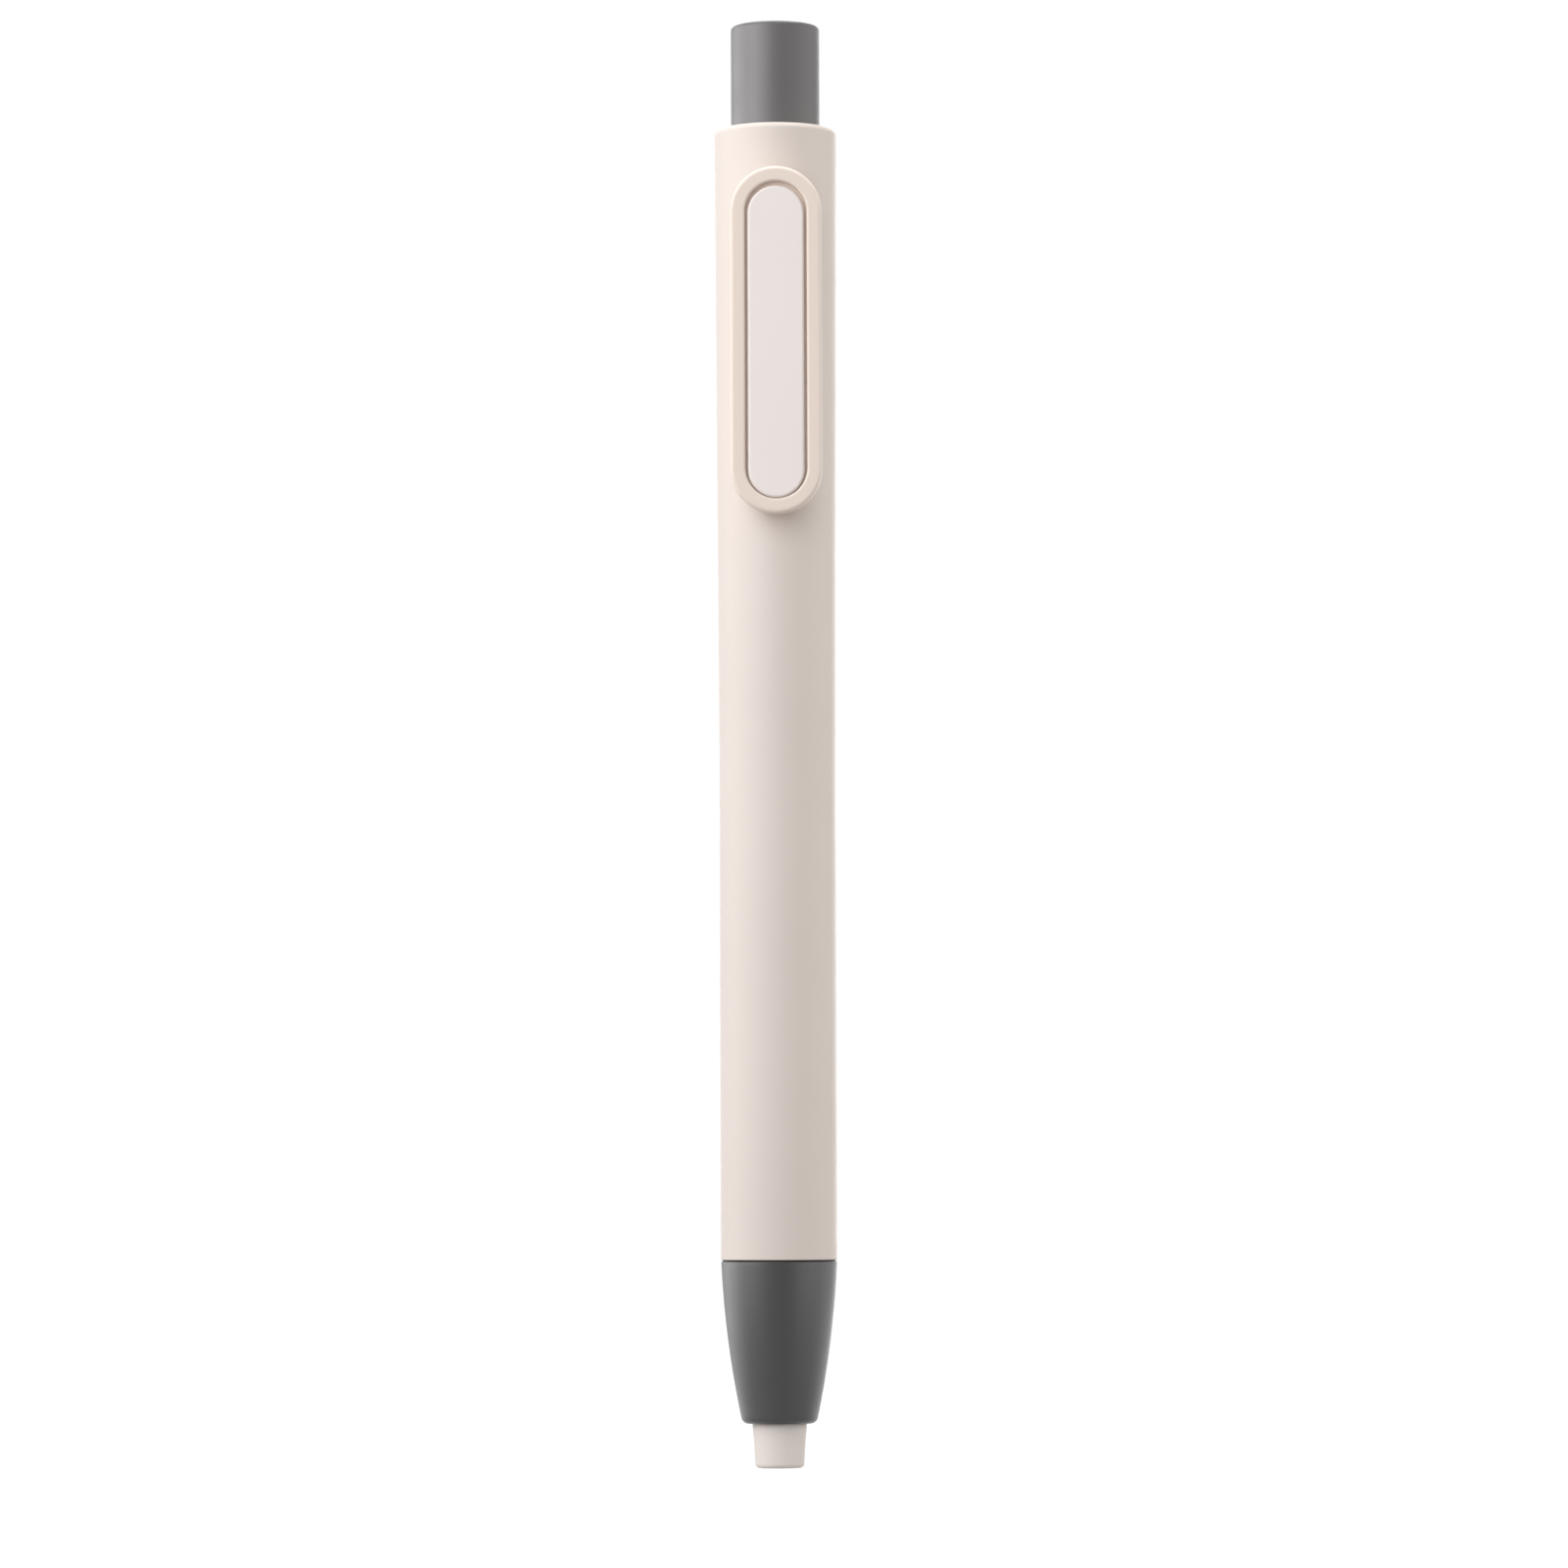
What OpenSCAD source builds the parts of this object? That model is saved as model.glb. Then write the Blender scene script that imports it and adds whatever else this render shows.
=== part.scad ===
// Click eraser stick: a round pen-shaped holder that feeds a thin eraser through a collet clutch.
// The stick stands on its axis: +Z runs from the eraser's tip at the origin up to the push button,
// and the clip faces -Y. All sizes are in millimetres.

/* [Barrel] */
// Length from the eraser's tip to the top of the push button
overall_len = 145; // [144:0.5:148]
// Outer diameter of the straight lower half of the barrel
barrel_d = 11.65; // [11.6:0.05:11.9]
// Outer diameter of the barrel at its rim
barrel_top_d = 12.3; // [12.2:0.05:12.6]
// Height at which the straight half ends and the flare begins
flare_z = 70; // [60:1:80]
// Height of the barrel's lower end, where the nose cone meets it
joint_z = 20.7; // [20.6:0.05:20.9]
// Height of the barrel's rim
rim_z = 134.5; // [134:0.1:135]
// Radius of the rim's outer edge
rim_round = 0.6; // [0.4:0.1:0.8]
// Diameter of the barrel's bore
bore_d = 9.3; // [9.25:0.05:9.35]

/* [Nose cone] */
// Height of the nose cone's lower face
nose_z = 4.4; // [4.2:0.1:4.6]
// Diameter of the nose cone's lower end, before its edge is rounded
nose_tip_d = 7.4; // [7.3:0.05:7.6]
// Radius of the curve that the side of the nose cone follows
nose_arc_r = 94; // [80:2:110]
// Radius of the lower edge
nose_edge_round = 0.75; // [0.3:0.05:0.75]
// Length of the threaded spigot that goes up into the barrel
spigot_len = 7.7; // [7:0.1:8]

/* [Eraser] */
// Diameter of the eraser stick
eraser_d = 5.4; // [5.3:0.05:5.4]
// Length of a new eraser stick
eraser_len = 78; // [60:1:80]
// Diameter of the drawn-in tip
eraser_tip_d = 4.85; // [4.7:0.05:5.1]
// Height up to which the tip is drawn in
eraser_taper_len = 3.9; // [2:0.1:4]

/* [Push button] */
// Outer diameter of the push button
button_d = 8.95; // [8.9:0.05:9]
// Length of the push button, most of it inside the barrel
button_len = 29; // [27:0.5:30]
// Travel of the push button
button_travel = 4.5; // [4:0.1:4.5]

/* [Clip] */
// Width of the clip
clip_w = 9.17; // [9:0.05:9.4]
// Length of the clip
clip_len = 34.8; // [34:0.1:35]
// Height of the clip's middle
clip_mid_z = 112.2; // [112:0.1:112.4]
// Width of the raised band round the plate
band_w = 1.5; // [1.3:0.02:1.6]
// Distance from the barrel's axis to the back of the clip
clip_back_y = 7.15; // [7:0.05:7.3]
// Thickness of the clip
clip_t = 1.8; // [1.7:0.05:2]
// Width of the groove between the band and the plate
plate_groove = 0.28; // [0.25:0.01:0.4]

/* [Clutch] */
// Number of jaws on the collet
jaw_count = 4; // [2:1:4]
// Width of the slots between the jaws
jaw_slot_w = 0.7; // [0.5:0.1:0.9]
// Travel of the clutch ring down to its stop in the nose cone
ring_travel = 2; // [1.5:0.1:2]
// Turns of the return spring
spring_turns = 8; // [6:1:9]
// Wire diameter of the return spring
wire_d = 0.5; // [0.4:0.05:0.5]

/* [Hidden] */
$fn = 96;

// Overshoot of the cutting shapes
cut = 0.5;

// Colours
ivory = [0.90, 0.86, 0.81];
ivory_clip = [0.88, 0.82, 0.75];
plate_white = [0.93, 0.90, 0.87];
charcoal = [0.30, 0.30, 0.31];
eraser_white = [0.92, 0.89, 0.87];
natural = [0.85, 0.86, 0.86];
brass = [0.80, 0.66, 0.36];
steel = [0.75, 0.76, 0.78];
black_rubber = [0.12, 0.12, 0.13];

// Fits between pieces
slide_gap = 0.05;
grip_gap = 0.03;
tube_gap = 0.25;

// Barrel
barrel_r = barrel_d / 2;
barrel_top_r = barrel_top_d / 2;
bore_r = bore_d / 2;
thread_r = 5.05;
end_chamfer = 0.12;
bore_lead_in = 0.15;
shoulder_z = joint_z + spigot_len + 0.8;
rib_count = 4;
rib_w = 0.8;
rib_h = 0.55;
rib_z0 = 60;

// Nose cone, from the lower opening to the spigot's top
nose_top_r = barrel_r - 0.025;
nose_tip_r = nose_tip_d / 2;
nose_lip_h = 0.2;
nose_side_z = joint_z - nose_lip_h;
spigot_z = joint_z + spigot_len;
spigot_r = thread_r - slide_gap;
relief_h = 0.9;
relief_r = 4.75;
mouth_r = eraser_d / 2 + 0.2;
pocket_z = 5.6;
pocket_h = 2.4;
pocket_r = 3.4;
jaw_room_r = 4;
jaw_room_z = 11;
stop_z = 14.7;
cavity_r = 4.3;

// Clutch ring
ring_h = 3;
ring_z = stop_z + ring_travel;
ring_r = 4.2;
ring_land_h = 0.5;
cone_slope = 0.2;
stem_r = 3.35;
ring_bore_r = stem_r + slide_gap + 0.02;
ring_mouth_r = ring_bore_r + cone_slope * (ring_h - ring_land_h);
ring_chamfer = 0.25;

// Collet
jaw_bore_r = eraser_d / 2 + grip_gap;
stem_bore_r = eraser_d / 2 + tube_gap;
jaw_z = 14;
jaw_r = 3.85;
jaw_end_r = 3.2;
jaw_chamfer_h = 1.2;
jaw_grip_len = 5;
tooth_pitch = 1;
tooth_depth = 0.15;
cone_z = ring_z + (ring_mouth_r - grip_gap - jaw_r) / cone_slope;
cone_top_z = cone_z + (jaw_r - stem_r) / cone_slope;
slot_top_z = 36;
slot_end_r = 0.55;
collet_top_z = 51;

// Spring sleeve
sleeve_z = ring_z + ring_h + slide_gap;
sleeve_r = cavity_r - 0.02;
sleeve_bore_r = stem_r + slide_gap + 0.02;
flange_r = 4.95;

// Coupler and feed tube
coupler_z = 46;
coupler_len = 10;
coupler_r = 4.4;
tube_r = 3.7;
tube_bore_r = stem_bore_r;
tube_z = collet_top_z;
tube_top_z = 123;

// Push button
button_r = button_d / 2;
button_z = overall_len - button_len;
below_button = 3.5;
rib_z1 = button_z - button_travel - below_button;
button_round = 0.35;
button_wall_top = 1.6;
button_room_r = 3.1;

// Return spring, between the sleeve's flange and the coupler
spring_r = 4.25;
spring_z0 = shoulder_z;
spring_z1 = coupler_z;
spring_rise = spring_z1 - spring_z0 - wire_d * cos(30);
rings_per_turn = 8;
wire_sides = 6;

// Clip
clip_half_w = clip_w / 2;
straight_len = clip_len - clip_w;
band_in = clip_half_w - band_w;
floor_t = 0.95;
band_outer_round = 0.4;
band_inner_round = 0.25;
back_round = 0.3;
plate_t = 0.78;
plate_r = band_in - plate_groove;
plate_bevel = 0.16;
plate_drop = 0.2;
foot_w = 4;
foot_h = 2;
foot_z = 126.6;
foot_end_r = 4.85;
barb_h = 0.55;
barb_r0 = 4.85;
barb_r1 = 5.3;
foot_play = 0.2;
web_h = 1.2;
nub_r = 2.2;
nub_w = 5;
nub_z = 97.6;

// Outer radius of the barrel at a height on its flare
function flare_r(z) = barrel_r + (barrel_top_r - barrel_r) * (z - flare_z) / (rim_z - flare_z);

// A ring or tube between two heights
module tube(z0, z1, r_out, r_in) {
    translate([0, 0, z0])
        difference() {
            cylinder(r = r_out, h = z1 - z0);
            translate([0, 0, -cut]) cylinder(r = r_in, h = z1 - z0 + 2 * cut);
        }
}

// Turns an outline drawn as [radius, height] round the axis
module turned() {
    rotate_extrude() children();
}

// Outline of a closed oval: two half circles joined by straight sides
module oval(half_w) {
    translate([0, straight_len / 2]) circle(r = half_w);
    translate([0, -straight_len / 2]) circle(r = half_w);
    square([2 * half_w, straight_len], center = true);
}

// Carries a section, drawn as [distance from the oval's middle line, depth], once round the oval
module round_the_oval() {
    for (side = [0, 1])
        rotate([0, 0, 180 * side]) {
            translate([0, straight_len / 2, 0]) rotate_extrude(angle = 180) children();
            translate([0, straight_len / 2, 0])
                rotate([90, 0, 0])
                    linear_extrude(height = straight_len) children();
        }
}

// Puts a shape drawn face up on the clip's own plane in its place in front of the barrel
module on_clip() {
    translate([0, 0, clip_mid_z]) rotate([90, 0, 0]) children();
}

module barrel_outline() {
    polygon([
        [bore_r, joint_z],
        [barrel_r - end_chamfer, joint_z],
        [barrel_r, joint_z + end_chamfer],
        [barrel_r, flare_z],
        [barrel_top_r, rim_z - rim_round],
        [barrel_top_r - rim_round, rim_z - rim_round],
        [barrel_top_r - rim_round, rim_z],
        [bore_r + bore_lead_in, rim_z],
        [bore_r, rim_z - bore_lead_in]
    ]);
    translate([barrel_top_r - rim_round, rim_z - rim_round]) circle(r = rim_round);
}

// Window for the clip's foot, with a pocket behind it for the two barbs
module clip_window() {
    window_h = foot_h + 2 * foot_play;
    pocket_h = window_h + 2 * barb_h;
    window_w = foot_w + foot_play;
    translate([-window_w / 2, -barrel_top_r - cut, foot_z - window_h / 2])
        cube([window_w, barrel_top_r + cut, window_h]);
    translate([-window_w / 2, -barb_r1 - foot_play, foot_z - pocket_h / 2])
        cube([window_w, barb_r1, pocket_h]);
}

module barrel() {
    color(ivory) {
        difference() {
            turned() barrel_outline();
            translate([0, 0, joint_z - cut]) cylinder(r = thread_r, h = shoulder_z - joint_z + cut);
            clip_window();
        }
        for (i = [0:rib_count - 1])
            rotate([0, 0, 45 + 360 * i / rib_count])
                intersection() {
                    translate([bore_r - rib_h, -rib_w / 2, rib_z0]) cube([2 * rib_h, rib_w, rib_z1 - rib_z0]);
                    tube(rib_z0, rib_z1, bore_r + rib_h / 2, bore_r - rib_h);
                }
    }
}

// Centre of the arc that joins the nose cone's two ends
chord = [nose_top_r - nose_tip_r, nose_side_z - nose_z];
chord_len = norm(chord);
arc_depth = sqrt(pow(nose_arc_r, 2) - pow(chord_len / 2, 2));
arc_x = (nose_top_r + nose_tip_r) / 2 - arc_depth * chord[1] / chord_len;
arc_z = (nose_side_z + nose_z) / 2 + arc_depth * chord[0] / chord_len;

// Centre of the small circle that rounds the nose cone's lower edge, tangent to that arc
edge_z = nose_z + nose_edge_round;
edge_x = arc_x + sqrt(pow(nose_arc_r - nose_edge_round, 2) - pow(edge_z - arc_z, 2));

// The nose cone's solid outer form below the joint
module nose_outline() {
    intersection() {
        translate([arc_x, arc_z]) circle(r = nose_arc_r, $fn = 1440);
        union() {
            translate([edge_x, edge_z]) circle(r = nose_edge_round);
            translate([0, edge_z]) square([barrel_r, nose_side_z - edge_z]);
            translate([0, nose_z]) square([edge_x, nose_side_z - nose_z]);
        }
    }
    polygon([
        [0, nose_side_z],
        [nose_top_r, nose_side_z],
        [nose_top_r - nose_lip_h, joint_z],
        [relief_r, joint_z],
        [relief_r, joint_z + relief_h],
        [spigot_r, joint_z + relief_h + spigot_r - relief_r],
        [spigot_r, spigot_z - ring_chamfer],
        [spigot_r - ring_chamfer, spigot_z],
        [0, spigot_z]
    ]);
}

// The room inside the nose cone, from its mouth up through the spigot
module nose_room() {
    polygon([
        [0, nose_z - cut],
        [mouth_r, nose_z - cut],
        [mouth_r, pocket_z],
        [pocket_r, pocket_z],
        [pocket_r, pocket_z + pocket_h],
        [jaw_room_r, jaw_room_z],
        [jaw_room_r, stop_z],
        [cavity_r, stop_z],
        [cavity_r, spigot_z + cut],
        [0, spigot_z + cut]
    ]);
}

module nose_cone() {
    color(charcoal)
        turned()
            difference() {
                nose_outline();
                nose_room();
            }
}

// Rubber ring pressed into the nose cone: a rounded lip holds the stick while the jaws let go
module friction_ring() {
    lip_r = 0.3;
    lip_x = eraser_d / 2 + grip_gap + lip_r;
    color(black_rubber)
        turned() {
            translate([lip_x, pocket_z]) square([pocket_r - lip_x, pocket_h]);
            translate([lip_x, pocket_z + pocket_h / 2]) circle(r = lip_r);
        }
}

// Sleeve that the jaws slide through: it stops the clutch ring below and carries the spring above
module spring_sleeve() {
    color(natural)
        turned()
            polygon([
                [sleeve_bore_r, sleeve_z],
                [sleeve_r - ring_chamfer, sleeve_z],
                [sleeve_r, sleeve_z + ring_chamfer],
                [sleeve_r, spigot_z],
                [flange_r, spigot_z],
                [flange_r, shoulder_z],
                [sleeve_bore_r, shoulder_z]
            ]);
}

module clutch_ring() {
    color(brass)
        turned()
            polygon([
                [ring_mouth_r, ring_z],
                [ring_r - ring_chamfer / 2, ring_z],
                [ring_r, ring_z + ring_chamfer / 2],
                [ring_r, ring_z + ring_h - ring_chamfer],
                [ring_r - ring_chamfer, ring_z + ring_h],
                [ring_bore_r, ring_z + ring_h],
                [ring_bore_r, ring_z + ring_h - ring_land_h]
            ]);
}

// Section of the collet: jaws with a conical head below, and a stem above that springs open
module collet_outline() {
    polygon([
        [jaw_bore_r, jaw_z],
        [jaw_end_r, jaw_z],
        [jaw_r, jaw_z + jaw_chamfer_h],
        [jaw_r, cone_z],
        [stem_r, cone_top_z],
        [stem_r, collet_top_z],
        [stem_bore_r, collet_top_z],
        [stem_bore_r, jaw_z + jaw_grip_len + tube_gap],
        [jaw_bore_r, jaw_z + jaw_grip_len]
    ]);
}

// Saw-tooth grooves that bite on the stick
module jaw_teeth() {
    for (z = [jaw_z + tooth_pitch:tooth_pitch:jaw_z + jaw_grip_len - tooth_pitch / 2])
        polygon([
            [jaw_bore_r - tooth_depth, z - tooth_pitch / 4],
            [jaw_bore_r, z - tooth_pitch / 4],
            [jaw_bore_r + tooth_depth, z + tooth_pitch / 4],
            [jaw_bore_r - tooth_depth, z + tooth_pitch / 4]
        ]);
}

// One slot between two jaws, open below and ending in a round relief hole
module jaw_slot() {
    translate([0, -jaw_slot_w / 2, jaw_z - cut]) cube([jaw_r + cut, jaw_slot_w, slot_top_z - jaw_z + cut]);
    translate([0, 0, slot_top_z]) rotate([0, 90, 0]) cylinder(r = slot_end_r, h = jaw_r + cut, $fn = 32);
}

module collet() {
    color(natural)
        difference() {
            turned()
                difference() {
                    collet_outline();
                    jaw_teeth();
                }
            for (i = [0:jaw_count - 1])
                rotate([0, 0, 360 * i / jaw_count]) jaw_slot();
        }
}

// Height of the spring's wire after some turns: flat at both ends, steady in between
function spring_share(t) =
    let (n = spring_turns, slope = 1 / (n - 1))
    t < 1 ? slope * t * t / 2 :
    t > n - 1 ? 1 - slope * (n - t) * (n - t) / 2 :
    slope * (t - 0.5);
function spring_at(t) = [
    spring_r * cos(360 * t),
    spring_r * sin(360 * t),
    spring_z0 + wire_d * cos(30) / 2 + spring_rise * spring_share(t)
];
spring_steps = spring_turns * rings_per_turn;
spring_line = [for (i = [0:spring_steps]) spring_at(i / rings_per_turn)];

// The two ends run straight on for one wire diameter
function along(a) = [-sin(a), cos(a), 0];
spring_angles = concat([0], [for (i = [0:spring_steps]) 360 * i / rings_per_turn], [360 * spring_turns]);
spring_path = concat(
    [spring_line[0] - wire_d * along(0)],
    spring_line,
    [spring_line[spring_steps] + wire_d * along(360 * spring_turns)]
);

// One six-sided ring of the wire, square to its run
function wire_ring(i) =
    let (
        a = spring_angles[i],
        ahead = spring_path[min(i + 1, len(spring_path) - 1)] - spring_path[max(i - 1, 0)],
        out = [cos(a), sin(a), 0],
        up = cross(out, ahead / norm(ahead))
    )
    [for (k = [0:wire_sides - 1])
        spring_path[i] + wire_d / 2 * (cos(60 * k) * out + sin(60 * k) * up)];

spring_rings = len(spring_path);
spring_points = [for (i = [0:spring_rings - 1]) each wire_ring(i)];
spring_faces = concat(
    [for (i = [0:spring_rings - 2], k = [0:wire_sides - 1])
        let (a = i * wire_sides + k, b = i * wire_sides + (k + 1) % wire_sides)
        each [[a, a + wire_sides, b], [b, a + wire_sides, b + wire_sides]]],
    [for (k = [1:wire_sides - 2]) [0, k, k + 1]],
    [for (k = [1:wire_sides - 2], e = [(spring_rings - 1) * wire_sides]) [e, e + k + 1, e + k]]
);

// Least gap between neighbouring turns, measured from wire to wire
least_gap = min([
    for (i = [0:spring_steps], j = [i + rings_per_turn / 2:spring_steps])
        norm(spring_line[i] - spring_line[j])
]) - wire_d;
echo(spring_least_gap = least_gap);

module return_spring() {
    color(steel) polyhedron(points = spring_points, faces = spring_faces);
}

// Coupler that joins the collet's stem to the feed tube and takes the spring's upper end
module coupler_outline() {
    rib_pitch = 2;
    difference() {
        polygon([
            [stem_r, coupler_z],
            [coupler_r, coupler_z],
            [coupler_r, coupler_z + coupler_len - ring_chamfer],
            [coupler_r - ring_chamfer, coupler_z + coupler_len],
            [tube_r, coupler_z + coupler_len],
            [tube_r, collet_top_z],
            [stem_r, collet_top_z]
        ]);
        for (z = [coupler_z + rib_pitch:rib_pitch:coupler_z + coupler_len - rib_pitch])
            translate([coupler_r, z]) circle(r = ring_chamfer);
    }
}

module tube_coupler() {
    color(natural) turned() coupler_outline();
}

module feed_tube() {
    color(natural)
        turned()
            polygon([
                [tube_bore_r + bore_lead_in, tube_z],
                [tube_r, tube_z],
                [tube_r, tube_top_z - ring_chamfer],
                [tube_r - ring_chamfer, tube_top_z],
                [tube_bore_r, tube_top_z],
                [tube_bore_r, tube_z + bore_lead_in]
            ]);
}

// Section of the push button: a cap with a rounded top edge, and a socket for the feed tube
module button_outline() {
    difference() {
        union() {
            translate([0, button_z + ring_chamfer])
                square([button_r, button_len - button_round - ring_chamfer]);
            polygon([
                [0, button_z],
                [button_r - ring_chamfer, button_z],
                [button_r, button_z + ring_chamfer],
                [0, button_z + ring_chamfer]
            ]);
            translate([0, overall_len - button_round]) square([button_r - button_round, button_round]);
            translate([button_r - button_round, overall_len - button_round]) circle(r = button_round);
        }
        polygon([
            [0, button_z - cut],
            [tube_r, button_z - cut],
            [tube_r, tube_top_z],
            [button_room_r, tube_top_z + (tube_r - button_room_r)],
            [button_room_r, overall_len - button_wall_top],
            [0, overall_len - button_wall_top]
        ]);
    }
}

module push_button() {
    color(charcoal) turned() button_outline();
}

// Section of the stick: straight, with a slightly drawn-in tip whose edge is rounded
module eraser_stick() {
    tip_r = eraser_tip_d / 2;
    tip_round = 0.45;
    top_chamfer = 0.2;
    full_r = eraser_d / 2;
    color(eraser_white)
        turned() {
            polygon([
                [0, 0],
                [tip_r - tip_round, 0],
                [tip_r - tip_round, tip_round],
                [tip_r, tip_round],
                [full_r, eraser_taper_len],
                [full_r, eraser_len - top_chamfer],
                [full_r - top_chamfer, eraser_len],
                [0, eraser_len]
            ]);
            intersection() {
                translate([tip_r - tip_round, tip_round]) circle(r = tip_round);
                square([tip_r, tip_round]);
            }
        }
}

// Section of the clip's raised band, drawn as [distance from the oval's middle line, depth]
module band_section() {
    top = clip_back_y + clip_t;
    mid = top - band_outer_round;
    translate([band_in, clip_back_y]) square([clip_half_w - back_round - band_in, clip_t - band_outer_round]);
    translate([band_in, clip_back_y + back_round]) square([band_w, mid - clip_back_y - back_round]);
    translate([clip_half_w - back_round, clip_back_y + back_round]) circle(r = back_round);
    translate([band_in + band_inner_round, mid])
        square([band_w - band_inner_round - band_outer_round, band_outer_round]);
    translate([band_in, mid]) square([band_w - band_outer_round, band_outer_round - band_inner_round]);
    translate([band_in + band_inner_round, top - band_inner_round]) circle(r = band_inner_round);
    translate([clip_half_w - band_outer_round, mid]) circle(r = band_outer_round);
}

// Foot that snaps into the barrel: a neck through the window and two barbs behind it
module clip_foot() {
    local_z = foot_z - clip_mid_z;
    translate([-foot_w / 2, local_z - foot_h / 2, foot_end_r])
        cube([foot_w, foot_h, clip_back_y + floor_t / 2 - foot_end_r]);
    translate([-foot_w / 2, local_z, 0])
        rotate([90, 0, 90])
            linear_extrude(height = foot_w)
                for (side = [0, 1])
                    mirror([side, 0])
                        polygon([
                            [0, barb_r0],
                            [foot_h / 2 + barb_h / 2, barb_r0],
                            [foot_h / 2 + barb_h, barb_r1],
                            [0, barb_r1]
                        ]);
}

// Web that stiffens the corner between the foot and the clip's back
module clip_web() {
    local_z = foot_z - clip_mid_z - foot_h / 2;
    web_l = 4;
    web_root = 0.6;
    translate([-foot_w / 2, local_z, clip_back_y])
        rotate([90, 0, 90])
            linear_extrude(height = foot_w)
                polygon([
                    [web_h / 2, -web_root],
                    [0, -web_root],
                    [-web_l, 0],
                    [-web_l, floor_t / 2],
                    [web_h / 2, floor_t / 2]
                ]);
}

// Rounded nub near the clip's lower end, where it presses on the barrel
module clip_nub() {
    nub_top = flare_r(nub_z) + slide_gap;
    nub_depth = clip_back_y + floor_t / 2 - nub_top;
    intersection() {
        translate([-nub_w / 2, nub_z - clip_mid_z, nub_top + nub_r])
            rotate([0, 90, 0])
                cylinder(r = nub_r, h = nub_w);
        translate([0, nub_z - clip_mid_z, nub_top + nub_depth / 2])
            cube([2 * nub_w, 4 * nub_r, nub_depth], center = true);
    }
}

module clip_frame() {
    color(ivory_clip)
        on_clip() {
            round_the_oval() band_section();
            translate([0, 0, clip_back_y]) linear_extrude(height = floor_t) oval(band_in + band_w / 3);
            clip_foot();
            clip_web();
            clip_nub();
        }
}

// Plate set into the clip, with a bevelled edge; it sits low in its recess
module clip_plate() {
    plate_z = clip_back_y + floor_t;
    color(plate_white)
        on_clip()
            translate([0, -plate_drop, 0]) round_the_oval()
                polygon([
                    [0, plate_z],
                    [plate_r, plate_z],
                    [plate_r, plate_z + plate_t - plate_bevel],
                    [plate_r - plate_bevel, plate_z + plate_t],
                    [0, plate_z + plate_t]
                ]);
}

barrel();
nose_cone();
friction_ring();
spring_sleeve();
clutch_ring();
collet();
return_spring();
tube_coupler();
feed_tube();
push_button();
eraser_stick();
clip_frame();
clip_plate();
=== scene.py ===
# %% [markdown]
# # Click eraser stick
# A round, pen-shaped holder that feeds a thin eraser. The CAD model already says where every piece is and
# how it moves. This file dresses that model: it gives each piece a smooth skin, a finish and a studio.
# Lengths are written in millimetres, as on the drawing, and turned into metres where a mesh is made.

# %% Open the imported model
import math

import bmesh
import bpy
from mathutils import Matrix, Vector


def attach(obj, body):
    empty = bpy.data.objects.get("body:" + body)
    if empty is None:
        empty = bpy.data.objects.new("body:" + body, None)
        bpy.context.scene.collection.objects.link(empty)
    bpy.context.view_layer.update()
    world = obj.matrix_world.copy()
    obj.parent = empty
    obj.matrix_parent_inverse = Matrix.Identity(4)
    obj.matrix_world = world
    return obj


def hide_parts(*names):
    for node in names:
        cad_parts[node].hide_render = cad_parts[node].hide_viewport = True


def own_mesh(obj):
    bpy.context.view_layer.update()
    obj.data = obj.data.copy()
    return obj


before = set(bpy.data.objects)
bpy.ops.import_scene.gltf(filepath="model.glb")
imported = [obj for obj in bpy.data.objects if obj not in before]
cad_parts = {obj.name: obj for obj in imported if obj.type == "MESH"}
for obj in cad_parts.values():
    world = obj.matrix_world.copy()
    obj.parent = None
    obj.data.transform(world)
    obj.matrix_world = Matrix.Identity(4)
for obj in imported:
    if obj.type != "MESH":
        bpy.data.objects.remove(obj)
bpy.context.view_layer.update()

print("nodes:", len(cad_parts))

# %% [markdown]
# ## The camera
# The photograph looks at the stick from about 0.68 m away. The lens is level with the barrel's lower end and
# tips up by three and a half degrees, so the button's top face stays hidden and its rim curves upwards.
# A near camera with a wide lens would fill the frame as well, but it would exaggerate that perspective, so
# a long lens at the true distance was chosen.

# %% Camera
MM = 0.001
PHOTO_PIXELS = 1601
FOCAL_PIXELS = 6927
EYE = Vector((0.65, -680, 26.0)) * MM
TIP_UP = math.radians(3.566)
ROLL = math.radians(-0.2)


def shown(name, data):
    """Puts a mesh, a lamp or a lens in the scene as an object at the origin."""
    thing = bpy.data.objects.new(name, data)
    bpy.context.scene.collection.objects.link(thing)
    return thing


lens = bpy.data.cameras.new("photo_camera")
lens.sensor_width = 36
lens.lens = FOCAL_PIXELS / PHOTO_PIXELS * lens.sensor_width
lens.clip_start = 0.01
lens.clip_end = 20
camera = shown("photo_camera", lens)
turn = Matrix.Rotation(math.pi / 2 + TIP_UP, 4, "X") @ Matrix.Rotation(ROLL, 4, "Z")
camera.matrix_world = Matrix.Translation(EYE) @ turn
bpy.context.scene.camera = camera
print("lens", round(lens.lens, 1), "mm")

# %% [markdown]
# ## Node trees
# The world, the finishes and the shapes are all trees of nodes. They could be written out line by line. A
# helper that adds a node and fills its sockets in one call keeps every tree below short enough to read.

# %% A helper for node trees
def wire(tree, kind, inputs=None, **settings):
    """Adds a node, applies its settings, and fills or links its inputs."""
    made = tree.nodes.new(kind)
    for key, value in settings.items():
        setattr(made, key, value)
    for key, value in (inputs or {}).items():
        if isinstance(value, bpy.types.NodeSocket):
            tree.links.new(value, made.inputs[key])
        else:
            made.inputs[key].default_value = value
    return made


# %% [markdown]
# ## White room
# The photograph has no visible ground or wall. White planes round the object could give that, but their
# edges would show from other sides. So the world itself shows white to the camera, and to the rays that
# mirror it in gloss, while it lights the object with a softer, slightly warm level.

# %% White room
WORLD_LIGHT = 0.62
WORLD_TINT = (1.0, 0.982, 0.965, 1.0)


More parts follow.
